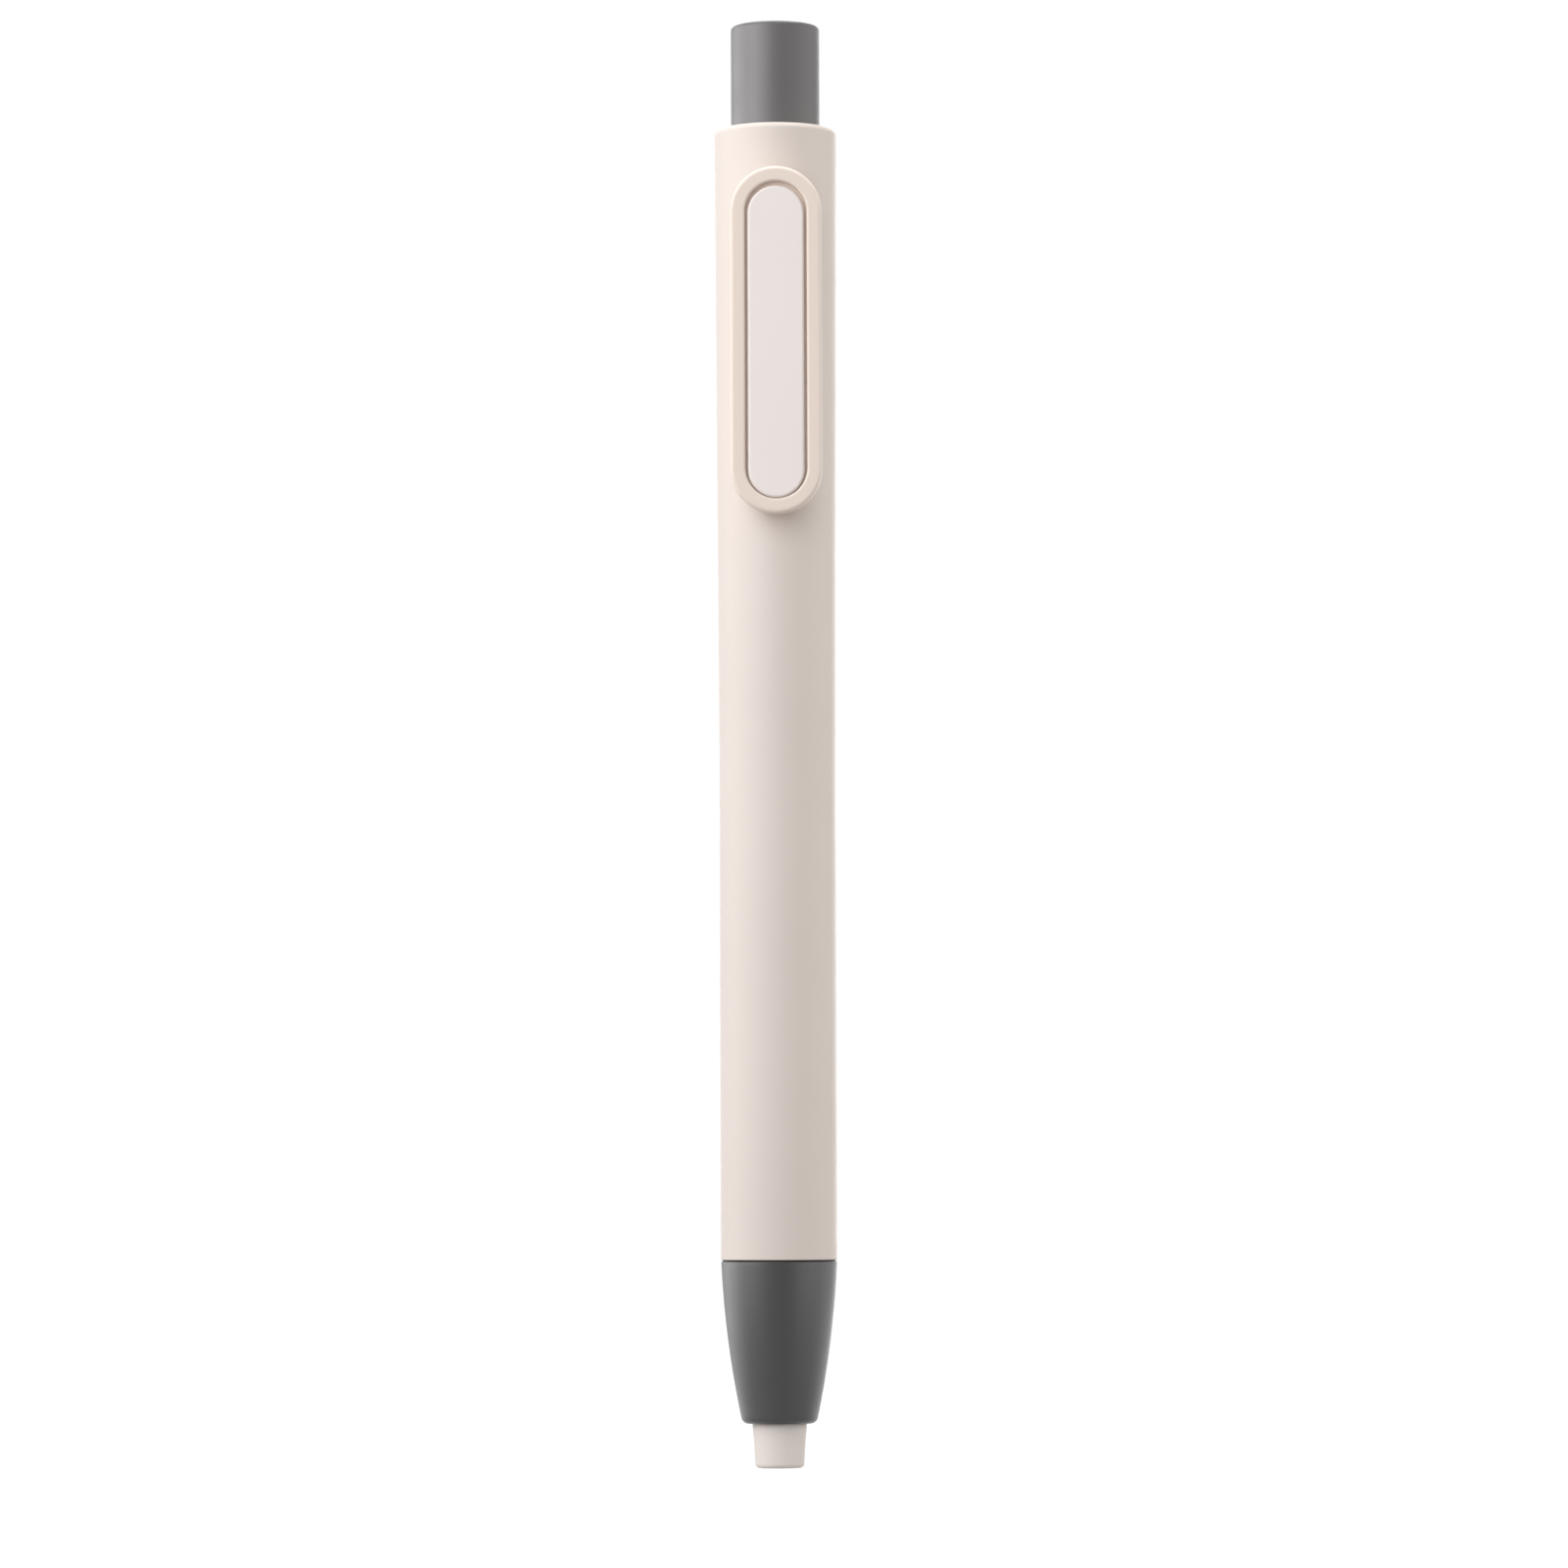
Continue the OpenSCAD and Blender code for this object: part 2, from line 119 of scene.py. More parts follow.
def sees_background(tree):
    """1 for the rays that should meet the white backdrop: seen directly, mirrored or through glass."""
    path = wire(tree, "ShaderNodeLightPath").outputs
    direct = wire(tree, "ShaderNodeMath",
                  {0: path["Is Camera Ray"], 1: path["Is Glossy Ray"]}, operation="MAXIMUM")
    through = wire(tree, "ShaderNodeMath",
                   {0: direct.outputs[0], 1: path["Is Transmission Ray"]}, operation="MAXIMUM")
    return through.outputs[0]


world = bpy.data.worlds.new("white_room")
bpy.context.scene.world = world
world.use_nodes = True
sky = world.node_tree
sky.nodes.clear()
soft = wire(sky, "ShaderNodeBackground", {"Color": WORLD_TINT, "Strength": WORLD_LIGHT})
white = wire(sky, "ShaderNodeBackground", {"Color": (1, 1, 1, 1), "Strength": 1.0})
room = wire(sky, "ShaderNodeMixShader",
            {"Fac": sees_background(sky), 1: soft.outputs[0], 2: white.outputs[0]})
wire(sky, "ShaderNodeOutputWorld", {"Surface": room.outputs[0]})
print("the world lights the stick at", WORLD_LIGHT)

# %% [markdown]
# A large floor below the stick sends some light back up, as a table would. To the camera it glows just
# enough to join the white of the room. From below it is clear, so the stick can be looked at from there too.

# %% Floor
FLOOR_Z = -30
FLOOR_SIZE = 6000
FLOOR_GLOW = 0.86
PAPER_SHADE = (0.33, 0.325, 0.32, 1)


def blank_material(name):
    """A new material and its emptied node tree."""
    material = bpy.data.materials.new(name)
    material.use_nodes = True
    material.node_tree.nodes.clear()
    return material, material.node_tree


floor_mesh = bpy.data.meshes.new("floor")
reach = FLOOR_SIZE / 2 * MM
corners = [(-reach, -reach), (reach, -reach), (reach, reach), (-reach, reach)]
floor_mesh.from_pydata([(x, y, FLOOR_Z * MM) for x, y in corners], [], [(0, 1, 2, 3)])
floor = shown("floor", floor_mesh)

paper, tree = blank_material("floor_paper")
matte = wire(tree, "ShaderNodeBsdfDiffuse", {"Color": PAPER_SHADE})
lift = wire(tree, "ShaderNodeMath", {0: sees_background(tree), 1: FLOOR_GLOW}, operation="MULTIPLY")
glow = wire(tree, "ShaderNodeEmission", {"Color": (1, 1, 1, 1), "Strength": lift.outputs[0]})
both = wire(tree, "ShaderNodeAddShader", {0: matte.outputs[0], 1: glow.outputs[0]})
underside = wire(tree, "ShaderNodeNewGeometry").outputs["Backfacing"]
clear = wire(tree, "ShaderNodeBsdfTransparent")
open_below = wire(tree, "ShaderNodeMixShader", {"Fac": underside, 1: both.outputs[0], 2: clear.outputs[0]})
wire(tree, "ShaderNodeOutputMaterial", {"Surface": open_below.outputs[0]})
floor_mesh.materials.append(paper)
print("floor at", FLOOR_Z, "mm")

# %% [markdown]
# ## Lamps
# A big soft box on the left, in front and a little above, makes the shading that tells a round barrel from a
# flat one. Two fills keep the sides open, a third one lights the back, and a lamp overhead draws the bright
# line on the rim and on the clip's upper edge. The grey button and nose also mirror cards, as dark gloss
# always does in a studio: three large ones, and two small ones low beside the nose for its edges. Light
# linking keeps the cards off the pale pieces, which would turn white where they are seen at a grazing angle.

# %% Lamps
AIM = Vector((0, 0, 80)) * MM
grey_pieces = bpy.data.collections.new("grey_pieces")


def soft_box(name, place, size, watts, tint=(1, 1, 1), receivers=None):
    """A rectangular lamp in millimetres, turned to the stick; with receivers, a card only they mirror."""
    light = bpy.data.lights.new(name, "AREA")
    light.shape = "RECTANGLE"
    light.size, light.size_y = size[0] * MM, size[1] * MM
    light.energy = watts
    light.color = tint
    lamp = shown(name, light)
    lamp.location = Vector(place) * MM
    lamp.rotation_euler = (AIM - lamp.location).to_track_quat("-Z", "Y").to_euler()
    lamp.light_linking.receiver_collection = receivers
    lamp.visible_diffuse = receivers is None
    lamp.visible_camera = False


soft_box("key_left", (-150, -175, 182), (250, 230), 0.38, tint=(0.99, 0.985, 1.0))
soft_box("fill_left", (-430, 0, 130), (400, 400), 0.6, tint=(1.0, 0.985, 0.985))
soft_box("fill_right", (430, 0, 150), (400, 400), 0.55, tint=(1.0, 0.98, 0.94))
soft_box("fill_back", (60, 430, 140), (400, 400), 0.8, tint=(1.0, 0.985, 0.96))
soft_box("top", (0, 20, 400), (300, 150), 0.62)
soft_box("card_left", (-400, 20, 30), (740, 600), 3.6, receivers=grey_pieces)
soft_box("card_front", (-300, -300, 30), (260, 600), 1.0, receivers=grey_pieces)
soft_box("card_right", (370, -270, -60), (380, 340), 1.3, receivers=grey_pieces)
soft_box("card_low_left", (-125, 60, 5), (160, 70), 0.028, receivers=grey_pieces)
soft_box("card_low_right", (125, 50, 5), (160, 70), 0.022, receivers=grey_pieces)

# %% [markdown]
# ## Finishes
# Every shell is injection-moulded plastic, and the photograph shows three kinds: warm ivory with a fine matt
# grain, a slightly warmer satin clip with a paler plate, and a charcoal satin that is lighter on the button.
# The nose and the button are one plastic in two copies: the button's lighter grey is painted light and the
# nose's darker charcoal is painted shade, for the light from above that the button catches and the nose
# misses.
# A moulded skin is never quite even: the steel mould leaves a grain of about a tenth of a millimetre, the
# gloss drifts a little from place to place, and the colour has a trace of flow in it. Image textures would
# need unwrapped meshes, so one helper builds all of that from noise on object coordinates, and the pattern
# stays fixed to the piece.

# %% Moulded plastic
# Noise rarely leaves this middle range, so it is stretched to the full drift
NOISE_RANGE = {"From Min": 0.3, "From Max": 0.7}
GLOSS_DRIFT = 0.03
GLOW_DEPTH, GLOW_RADII = 0.6, (1.0, 0.8, 0.6)


def linear(red, green, blue):
    """A colour as read off a screen, 0 to 255, in the linear values that shaders use."""
    def channel(c):
        c /= 255
        return c / 12.92 if c <= 0.04045 else ((c + 0.055) / 1.055) ** 2.4
    return channel(red), channel(green), channel(blue), 1.0


def moulded(name, colour, roughness, grain, grain_size=0.14, drift=0.012, glow_through=0.0):
    """Plastic as it leaves a mould. Grain size is in millimetres, grain and drift are shares of one."""
    material, tree = blank_material(name)
    place = wire(tree, "ShaderNodeTexCoord").outputs["Object"]

    # Slow drift of the colour, about two centimetres from patch to patch
    slow = wire(tree, "ShaderNodeTexNoise", {"Vector": place, "Scale": 55, "Detail": 2, "Roughness": 0.5})
    shade = wire(tree, "ShaderNodeMapRange",
                 {"Value": slow.outputs["Fac"], **NOISE_RANGE, "To Min": 1 - drift, "To Max": 1 + drift})
    base = wire(tree, "ShaderNodeVectorMath", {0: colour[:3]}, operation="SCALE")
    tree.links.new(shade.outputs[0], base.inputs["Scale"])

    # The gloss varies on a scale of some millimetres
    patch = wire(tree, "ShaderNodeTexNoise", {"Vector": place, "Scale": 320, "Detail": 3, "Roughness": 0.55})
    rough = wire(tree, "ShaderNodeMapRange",
                 {"Value": patch.outputs["Fac"], **NOISE_RANGE,
                  "To Min": roughness - GLOSS_DRIFT, "To Max": roughness + GLOSS_DRIFT})

    # Fine grain that the mould's etched steel leaves
    fine = wire(tree, "ShaderNodeTexNoise",
                {"Vector": place, "Scale": 1 / (grain_size * MM), "Detail": 2, "Roughness": 0.6})
    skin = wire(tree, "ShaderNodeBump",
                {"Height": fine.outputs["Fac"], "Strength": grain, "Distance": 0.1 * grain_size * MM})

    surface = wire(tree, "ShaderNodeBsdfPrincipled",
                   {"Base Color": base.outputs[0], "Roughness": rough.outputs[0],
                    "Normal": skin.outputs["Normal"], "IOR": 1.5})
    if glow_through:
        surface.inputs["Subsurface Weight"].default_value = glow_through
        surface.inputs["Subsurface Radius"].default_value = GLOW_RADII
        surface.inputs["Subsurface Scale"].default_value = GLOW_DEPTH * MM
    wire(tree, "ShaderNodeOutputMaterial", {"Surface": surface.outputs[0]})
    return material


# %% [markdown]
# The colours were first read off the photograph and then corrected until the render had its tones, because
# the lamps and the white room change what the camera sees. The uncoloured plastic and the vinyl let a little
# light in, which takes the hardness out of their shadows.

# %% Finishes of the plastic pieces
ivory = moulded("ivory_barrel", linear(223, 213, 206), 0.46, grain=0.4)
beige = moulded("beige_clip", linear(234, 220, 209), 0.42, grain=0.3)
pale = moulded("pale_plate", linear(240, 232, 229), 0.36, grain=0.15)
# The nose and the button share one plastic: the nose's darker charcoal is painted shade, and the button's
# lighter grey is painted light.
charcoal = moulded("nose_charcoal_painted_shade", linear(46, 45, 47), 0.38, grain=0.25, drift=0.03)
grey = moulded("button_grey_painted_light", linear(93, 91, 92), 0.42, grain=0.25, drift=0.03)
natural = moulded("natural_plastic", linear(222, 224, 222), 0.35, grain=0.1, glow_through=0.3)
vinyl = moulded("vinyl_eraser", linear(233, 225, 220), 0.68, grain=0.5, grain_size=0.2, glow_through=0.15)
rubber = moulded("black_rubber", linear(34, 34, 36), 0.7, grain=0.4)
print("plastic and rubber:", [m.name for m in (ivory, beige, pale, charcoal, grey, natural, vinyl, rubber)])

# %% [markdown]
# The two metal pieces sit deep inside. The ring is turned from brass, so its gloss has fine rings round the
# axis. The spring's drawn wire takes the same marks, a little finer, which only break up its gloss.

# %% Turned and drawn metal
MARK_CONTRAST = 0.08
# Noise that hardly changes across the axis, so that along it the marks lie like rings
SQUEEZE = (0.02, 0.02, 1)


def metal(name, colour, roughness, ring_pitch):
    """Metal with fine tool marks stacked along the axis. The pitch is in millimetres."""
    material, tree = blank_material(name)
    place = wire(tree, "ShaderNodeTexCoord").outputs["Object"]
    squeeze = wire(tree, "ShaderNodeMapping", {"Vector": place, "Scale": SQUEEZE})
    marks = wire(tree, "ShaderNodeTexNoise",
                 {"Vector": squeeze.outputs[0], "Scale": 1 / (ring_pitch * MM), "Detail": 3})
    rough = wire(tree, "ShaderNodeMapRange",
                 {"Value": marks.outputs["Fac"],
                  "To Min": roughness - MARK_CONTRAST, "To Max": roughness + MARK_CONTRAST})
    cut = wire(tree, "ShaderNodeBump",
               {"Height": marks.outputs["Fac"], "Strength": 0.3, "Distance": 0.01 * MM})
    surface = wire(tree, "ShaderNodeBsdfPrincipled",
                   {"Base Color": colour, "Metallic": 1.0, "Roughness": rough.outputs[0],
                    "Normal": cut.outputs["Normal"]})
    wire(tree, "ShaderNodeOutputMaterial", {"Surface": surface.outputs[0]})
    return material


brass = metal("turned_brass", linear(214, 184, 118), 0.3, 0.08)
steel = metal("spring_steel", linear(198, 200, 204), 0.28, 0.05)
print("finishes:", len(bpy.data.materials))

# %% [markdown]
# ## Outlines
# A lathe needs half a section: the distance from the axis and the height of each corner. Moulded corners are
# never knife sharp, so every corner in a list may carry its own radius, and all others get a tiny one. The
# small arcs catch a thin line of light, which is most of what makes an edge look real. Long straight runs
# get one extra point close to each end, so that smooth shading bends only inside the corner.

# %% Outline helpers
SOFT_EDGE = 0.05
NEARLY_FLAT = math.radians(4)
SIDE_SHARE = 0.48
ARC_STEP = 9


def fillet(before, corner, after, radius):
    """The points of an arc that replaces a corner."""
    a, c, b = Vector(before), Vector(corner), Vector(after)
    to_a, to_b = (a - c), (b - c)
    turn = math.pi - to_a.angle(to_b)
    if radius <= 0 or turn < NEARLY_FLAT:
        return [tuple(c)]
    reach = min(radius * math.tan(turn / 2), SIDE_SHARE * to_a.length, SIDE_SHARE * to_b.length)
    radius = reach / math.tan(turn / 2)
    middle = c + (to_a.normalized() + to_b.normalized()).normalized() * math.hypot(radius, reach)
    start, end = c + to_a.normalized() * reach - middle, c + to_b.normalized() * reach - middle
    parts = max(2, round(math.degrees(turn) / ARC_STEP))
    sweep = start.angle_signed(end)
    return [tuple(middle + Matrix.Rotation(-sweep * i / parts, 2) @ start) for i in range(parts + 1)]


def softened(corners, closed=True):
    """Rounds each corner of an outline: (r, z) gets the usual small radius, (r, z, radius) its own."""
    flat = [c[:2] for c in corners]
    points = []
    for i, corner in enumerate(corners):
        first, last = i == 0, i == len(corners) - 1
        if not closed and (first or last):
            points.append(corner[:2])
            continue
        radius = corner[2] if len(corner) > 2 else SOFT_EDGE
        points += fillet(flat[i - 1], flat[i], flat[(i + 1) % len(flat)], radius)
    if closed:
        points.append(points[0])
    return points


def steadied(points, long_run=0.5, near=0.03):
    """Adds a point close to each end of every long straight run."""
    out = [points[0]]
    for p, q in zip(points, points[1:]):
        a, b = Vector(p), Vector(q)
        if (b - a).length > long_run:
            step = (b - a).normalized() * near
            out += [tuple(a + step), tuple(b - step)]
        out.append(q)
    return out


print("a square corner becomes", len(fillet((0, 5), (0, 0), (5, 0), 0.6)), "points")

# %% [markdown]
# ## The lathe, as Geometry Nodes
# Every shell here is an outline carried round an axis, and so is the oval clip: an oval is a circle that has
# been pulled apart. Blender's Screw modifier turns round pieces only, so one tree makes both kinds. It lays
# out a grid with one column for each point of the outline and one row for each step round. The rows where
# the two halves of an oval meet are doubled, and on a round piece they fall together again.

# %% Build the tree
def new_tree(name, **inputs):
    """An empty Geometry Nodes tree with named inputs, each given as (socket kind, starting value)."""
    tree = bpy.data.node_groups.new(name, "GeometryNodeTree")
    tree.interface.new_socket("Geometry", in_out="INPUT", socket_type="NodeSocketGeometry")
    tree.interface.new_socket("Geometry", in_out="OUTPUT", socket_type="NodeSocketGeometry")
    for label, (kind, value) in inputs.items():
        socket = tree.interface.new_socket(label, in_out="INPUT", socket_type="NodeSocket" + kind)
        if value is not None:
            socket.default_value = value
    return tree, tree.nodes.new("NodeGroupInput").outputs


def close_tree(tree, geometry, finish):
    """Ends a tree: makes instances real, shades them smooth and gives them their finish."""
    real = wire(tree, "GeometryNodeRealizeInstances", {"Geometry": geometry})
    smooth = wire(tree, "GeometryNodeSetShadeSmooth", {"Geometry": real.outputs[0]})
    dressed = wire(tree, "GeometryNodeSetMaterial", {"Geometry": smooth.outputs[0], "Material": finish})
    wire(tree, "NodeGroupOutput", {"Geometry": dressed.outputs[0]})


def maths(tree, operation, a, b=0.0):
    """One arithmetic step in a tree."""
    return wire(tree, "ShaderNodeMath", {0: a, 1: b}, operation=operation).outputs[0]


lathe, given = new_tree("lathe", steps=("Int", 192), straight=("Float", 0.0), finish=("Material", None))
outline, steps, straight = given["Geometry"], given["steps"], given["straight"]
size = wire(lathe, "GeometryNodeAttributeDomainSize", {"Geometry": outline}, component="MESH")
rows = maths(lathe, "ADD", steps, 3)
grid = wire(lathe, "GeometryNodeMeshGrid",
            {"Vertices X": size.outputs["Point Count"], "Vertices Y": rows})
index = wire(lathe, "GeometryNodeInputIndex").outputs[0]
column = maths(lathe, "FLOOR", maths(lathe, "DIVIDE", maths(lathe, "ADD", index, 0.5), rows))
row = maths(lathe, "SUBTRACT", index, maths(lathe, "MULTIPLY", column, rows))
print("lathe tree, grid laid out:", len(lathe.nodes), "nodes")

# %% [markdown]
# Then every grid point moves to its place: the outline's point, turned by the row's angle, and pushed half
# the straight run up or down. Points that fall together are welded, so that the skin closes.

# %% Place each grid point
WELD = 1e-7

in_lower_half = maths(lathe, "GREATER_THAN", row, maths(lathe, "ADD", maths(lathe, "DIVIDE", steps, 2), 0.5))
is_last = maths(lathe, "GREATER_THAN", row, maths(lathe, "ADD", steps, 1.5))
step = maths(lathe, "SUBTRACT", maths(lathe, "SUBTRACT", row, in_lower_half), is_last)
angle = maths(lathe, "DIVIDE", maths(lathe, "MULTIPLY", step, math.tau), steps)
side = maths(lathe, "SUBTRACT", maths(lathe, "MULTIPLY", is_last, 2),
             maths(lathe, "MULTIPLY", in_lower_half, 2))
push = maths(lathe, "MULTIPLY", maths(lathe, "MULTIPLY", maths(lathe, "ADD", side, 1), straight), 0.5)
here = wire(lathe, "GeometryNodeInputPosition").outputs[0]
drawn = wire(lathe, "GeometryNodeSampleIndex", {"Geometry": outline, "Index": column},
             data_type="FLOAT_VECTOR", domain="POINT")
lathe.links.new(here, drawn.inputs["Value"])
turned = wire(lathe, "ShaderNodeVectorRotate", {"Vector": drawn.outputs[0], "Angle": angle},
              rotation_type="Z_AXIS")
moved = wire(lathe, "ShaderNodeVectorMath",
             {0: turned.outputs[0], 1: wire(lathe, "ShaderNodeCombineXYZ", {"Y": push}).outputs[0]},
             operation="ADD")
shaped = wire(lathe, "GeometryNodeSetPosition",
              {"Geometry": grid.outputs["Mesh"], "Position": moved.outputs[0]})
welded = wire(lathe, "GeometryNodeMergeByDistance", {"Geometry": shaped.outputs[0], "Distance": WELD})
close_tree(lathe, welded.outputs[0], given["finish"])
print("lathe tree, whole:", len(lathe.nodes), "nodes")

# %% [markdown]
# A tree is run by putting it on an object as a modifier. Its inputs are addressed by the identifier that
# Blender gave each socket. The evaluated result is copied into a plain mesh, and the modifier goes away, so
# nothing in the finished scene depends on the tree.

# %% Run a tree
def baked(name, thing):
    """A plain mesh of what an object looks like with its modifiers; the object itself is removed."""
    deps = bpy.context.evaluated_depsgraph_get()
    mesh = bpy.data.meshes.new_from_object(thing.evaluated_get(deps))
    mesh.name = name
    bpy.data.objects.remove(thing)
    return mesh


def run_tree(name, mesh, tree, **values):
    """Runs a Geometry Nodes tree on a mesh and returns the result as a plain mesh."""
    thing = shown(name, mesh)
    modifier = thing.modifiers.new(tree.name, "NODES")
    modifier.node_group = tree
    for item in tree.interface.items_tree:
        if item.in_out == "INPUT" and item.name in values:
            modifier[item.identifier] = values[item.name]
    return baked(name, thing)


print("the lathe takes:", [item.name for item in lathe.interface.items_tree if item.in_out == "INPUT"])

# %% [markdown]
# A mesh that comes from a tree or a Boolean may hold doubled points, and faces that look inwards. A clean-up
# welds the points, turns the faces out and marks only the real corners as sharp. Smooth shading alone would
# smear those corners, and flat shading would show every facet.

# %% Tidy a mesh
SHARP = math.radians(35)


def tidied(mesh, finish):
    """Welds doubles, turns all faces outwards, keeps only real corners sharp, and sets the finish."""
    mesh.materials.clear()
    mesh.materials.append(finish)
    work = bmesh.new()
    work.from_mesh(mesh)
    bmesh.ops.remove_doubles(work, verts=work.verts, dist=WELD)
    bmesh.ops.recalc_face_normals(work, faces=work.faces)
    for face in work.faces:
        face.material_index = 0
    work.to_mesh(mesh)
    work.free()
    mesh.shade_smooth()
    mesh.set_sharp_from_angle(angle=SHARP)
    return mesh


print("corners sharper than", round(math.degrees(SHARP)), "degrees stay sharp")

# %% [markdown]
# Two helpers finish the tool kit. The first carries an outline round and tidies it. The frame is shared,
# so a piece is made where it belongs and never moved afterwards.

# %% Carry an outline round, and show a piece
def outline_mesh(points):
    """A line through (r, z) points given in millimetres, drawn in the XZ plane."""
    mesh = bpy.data.meshes.new("outline")
    verts = [(r * MM, 0, z * MM) for r, z in points]
    mesh.from_pydata(verts, [(i, i + 1) for i in range(len(verts) - 1)], [])
    return mesh


def carried_round(name, points, finish, steps=192, straight=0.0):
    """An outline in millimetres, carried round the Z axis or round an oval."""
    mesh = run_tree(name, outline_mesh(steadied(points)), lathe,
                    steps=steps, straight=straight * MM, finish=finish)
    return tidied(mesh, finish)


def ready(name, mesh, body, slot, *nodes):
    """Shows a finished mesh, lets it ride on its body, and hides the CAD nodes it stands for."""
    piece = shown(name, mesh)
    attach(piece, body)
    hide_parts(*nodes)
    low = [round(min(v.co[i] for v in mesh.vertices) / MM, 2) for i in range(3)]
    high = [round(max(v.co[i] for v in mesh.vertices) / MM, 2) for i in range(3)]
    print(name, len(mesh.polygons), "faces, from", low, "to", high)
    return piece


# %% [markdown]
# ## Wires and threads, as Geometry Nodes
# A spring and a screw thread are one shape: a round bar on a helix. Blender's own spiral would give an even
# pitch only, so the tree places the points of a line by formula. On a spring the end turns lie flat, so the
# pitch is eased in and out over the first and the last turn; a thread keeps its pitch and asks for no ease.

# %% Coil tree
coil, given = new_tree("coil", turns=("Float", 8.0), radius=("Float", 0.004), bar=("Float", 0.0005),
                       rise=("Float", 0.016), ease=("Float", 1.0), per_turn=("Int", 48),
                       finish=("Material", None))
turns, ease = given["turns"], given["ease"]
count = maths(coil, "ADD", maths(coil, "MULTIPLY", turns, given["per_turn"]), 1)
line = wire(coil, "GeometryNodeMeshLine", {"Count": count})
t = maths(coil, "DIVIDE", wire(coil, "GeometryNodeInputIndex").outputs[0], given["per_turn"])
low_part = maths(coil, "MINIMUM", t, 1.0)
high_part = maths(coil, "MAXIMUM", maths(coil, "SUBTRACT", t, maths(coil, "SUBTRACT", turns, 1)), 0.0)
low_loss = maths(coil, "SUBTRACT", low_part, maths(coil, "MULTIPLY", maths(coil, "POWER", low_part, 2), 0.5))
high_loss = maths(coil, "MULTIPLY", maths(coil, "POWER", high_part, 2), 0.5)
loss = maths(coil, "MULTIPLY", maths(coil, "ADD", low_loss, high_loss), ease)
share = maths(coil, "DIVIDE", maths(coil, "SUBTRACT", t, loss), maths(coil, "SUBTRACT", turns, ease))
turn_angle = maths(coil, "MULTIPLY", t, math.tau)
point = wire(coil, "ShaderNodeCombineXYZ", {
    "X": maths(coil, "MULTIPLY", maths(coil, "COSINE", turn_angle), given["radius"]),
    "Y": maths(coil, "MULTIPLY", maths(coil, "SINE", turn_angle), given["radius"]),
    "Z": maths(coil, "MULTIPLY", share, given["rise"])})
print("coil tree, points placed:", len(coil.nodes), "nodes")

# %% [markdown]
# The line of points becomes a curve, and a circle swept along it becomes the bar, with its ends closed.

# %% Sweep a round bar along the coil
wound = wire(coil, "GeometryNodeSetPosition", {"Geometry": line.outputs[0], "Position": point.outputs[0]})
path = wire(coil, "GeometryNodeMeshToCurve", {"Mesh": wound.outputs[0]})
section = wire(coil, "GeometryNodeCurvePrimitiveCircle",
               {"Resolution": 16, "Radius": maths(coil, "DIVIDE", given["bar"], 2)})
swept = wire(coil, "GeometryNodeCurveToMesh",
             {"Curve": path.outputs[0], "Profile Curve": section.outputs[0], "Fill Caps": True})
close_tree(coil, swept.outputs[0], given["finish"])


def coiled(name, z, finish, **values):
    """A bar on a helix that starts at a height in millimetres; the other sizes go to the tree."""
    sizes = {key: value * MM if key in ("radius", "bar", "rise") else value for key, value in values.items()}
    mesh = run_tree(name, bpy.data.meshes.new("seed"), coil, finish=finish, **sizes)
    mesh.transform(Matrix.Translation((0, 0, z * MM)))
    return tidied(mesh, finish)


print("coil tree, whole:", len(coil.nodes), "nodes")

# %% [markdown]
# ## Cutting and joining
# A Boolean modifier is the usual tool where one plain shape goes through another, or grows out of it. The
# second object is only a tool, so it is thrown away once the result is a plain mesh.

# %% Boolean helper
def combined(mesh, tool_mesh, operation, finish):
    """Cuts a mesh with another one, or joins the two into one closed skin."""
    tool = shown("tool", tool_mesh)
    thing = shown(mesh.name, mesh)
    modifier = thing.modifiers.new(operation.lower(), "BOOLEAN")
    modifier.operation, modifier.solver, modifier.object = operation, "EXACT", tool
    result = tidied(baked(mesh.name, thing), finish)
    bpy.data.objects.remove(tool)
    print(result.name, operation.lower(), "leaves", len(result.polygons), "faces")
    return result


# %% [markdown]
# ## Eraser stick
# The eraser is a soft vinyl rod. Its tip is drawn in a little and its edge is rounded by a first few strokes,
# and above the nose it stays a plain rod. Nothing about it needs more than the lathe.

# %% Eraser stick
ERASER_R = 2.7
ERASER_LEN = 78
ERASER_TIP_R = 2.425
TAPER_LEN = 3.9
BEND_R, BEND_Z = ERASER_R - 0.13, 0.65 * TAPER_LEN

eraser_outline = softened([
    (0, 0), (ERASER_TIP_R, 0, 0.45), (BEND_R, BEND_Z, 3), (ERASER_R, TAPER_LEN, 1.5),
    (ERASER_R, ERASER_LEN, 0.2), (0, ERASER_LEN),
], closed=False)
ready("eraser_rod", carried_round("eraser_rod", eraser_outline, vinyl), "eraser", "eraser", "eraser_stick")

# %% [markdown]
# ## Nose cone
# Its side follows one long arc of 94 mm radius, and the lower edge is a small circle tangent to that arc. The
# centre of the long arc comes from its two ends; the small circle's centre lies on the same ray, so the two
# meet without a kink. Corners with large radii would come close, but an arc drawn from its own radius leaves
# no joins for the gloss to show.

# %% Nose cone's side
NOSE_Z, NOSE_TIP_R = 4.4, 3.7
NOSE_TOP_Z, NOSE_TOP_R = 20.5, 5.8
NOSE_ARC_R = 94
NOSE_EDGE_R = 0.75


def on_arc(x, z, radius, start, end, parts):
    """Points along an arc, from one angle to another in radians."""
    return [(x + radius * math.cos(start + (end - start) * i / parts),
             z + radius * math.sin(start + (end - start) * i / parts)) for i in range(parts + 1)]


